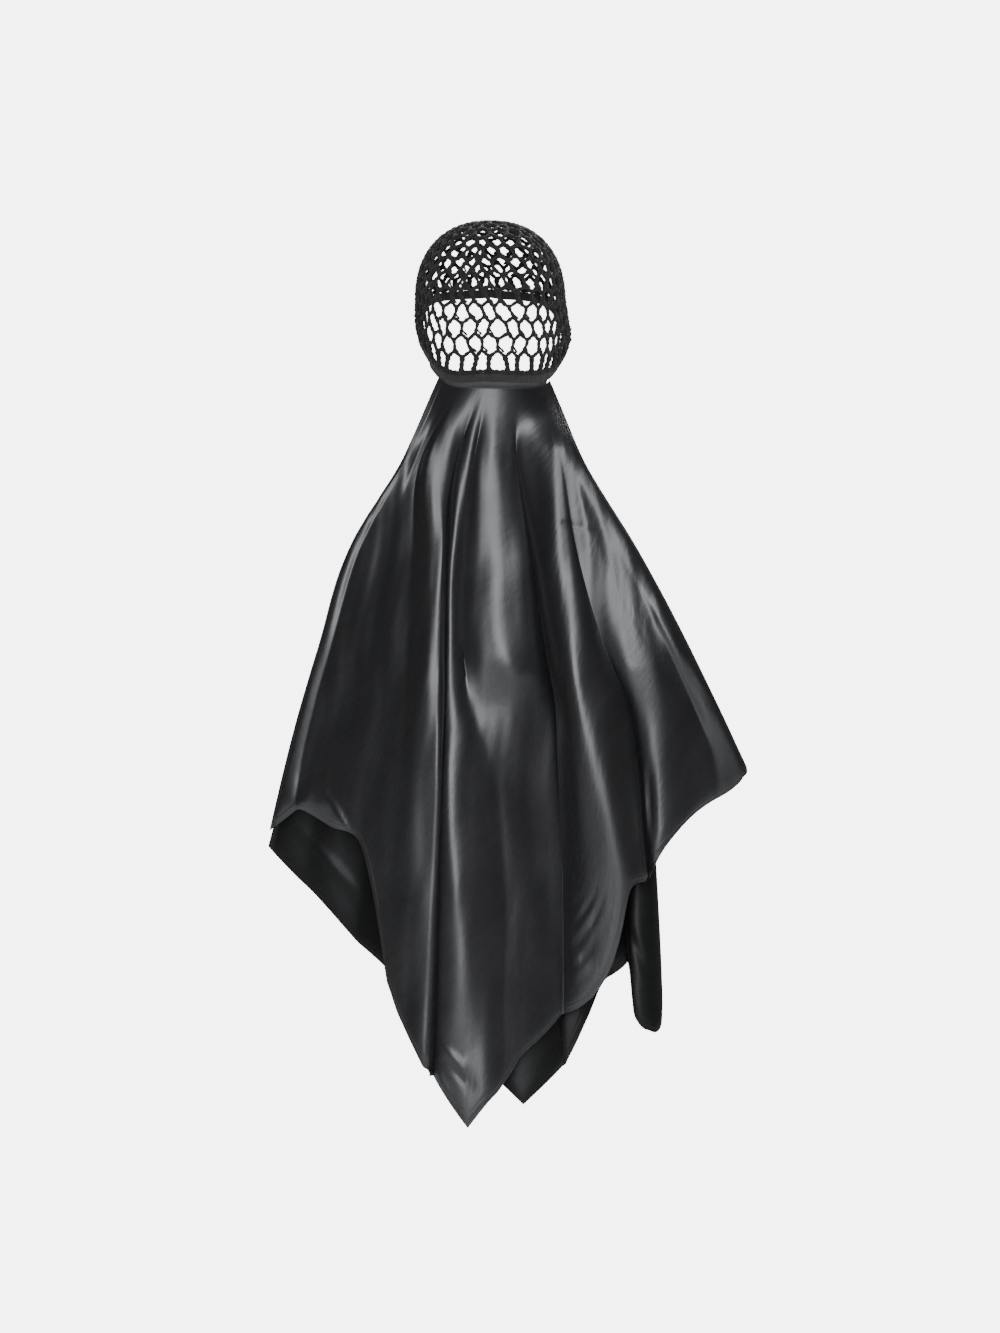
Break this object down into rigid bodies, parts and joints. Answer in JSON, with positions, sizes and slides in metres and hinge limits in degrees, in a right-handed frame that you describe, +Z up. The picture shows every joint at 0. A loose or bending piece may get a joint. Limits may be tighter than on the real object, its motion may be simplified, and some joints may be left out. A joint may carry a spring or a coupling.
{
  "type": "hair wrap cap",
  "caption": "Crocheted net hair cap with an elastic rim and a long layered black satin wrap cloth hanging from the nape, shown as worn.",
  "frame": {"origin": "crown seat: the point on top of the wearer's head that carries the cap, on the net's inner side", "axes": "+Z up, the wearer faces +Y, +X to the wearer's right; the cloth hangs behind on the -Y side"},
  "size_m": [0.4782, 0.2509, 0.9088],
  "materials": {
    "net_yarn": "matte",
    "elastic": "matte",
    "satin_binding": "satin",
    "satin": "satin",
    "satin_inner": "satin"
  },
  "bodies": {
    "root": {"net_crown": "net_yarn", "rim_band": "elastic", "nape_binding": "satin_binding", "veil_outer": "satin", "veil_inner": "satin_inner"}
  },
  "joints": []
}
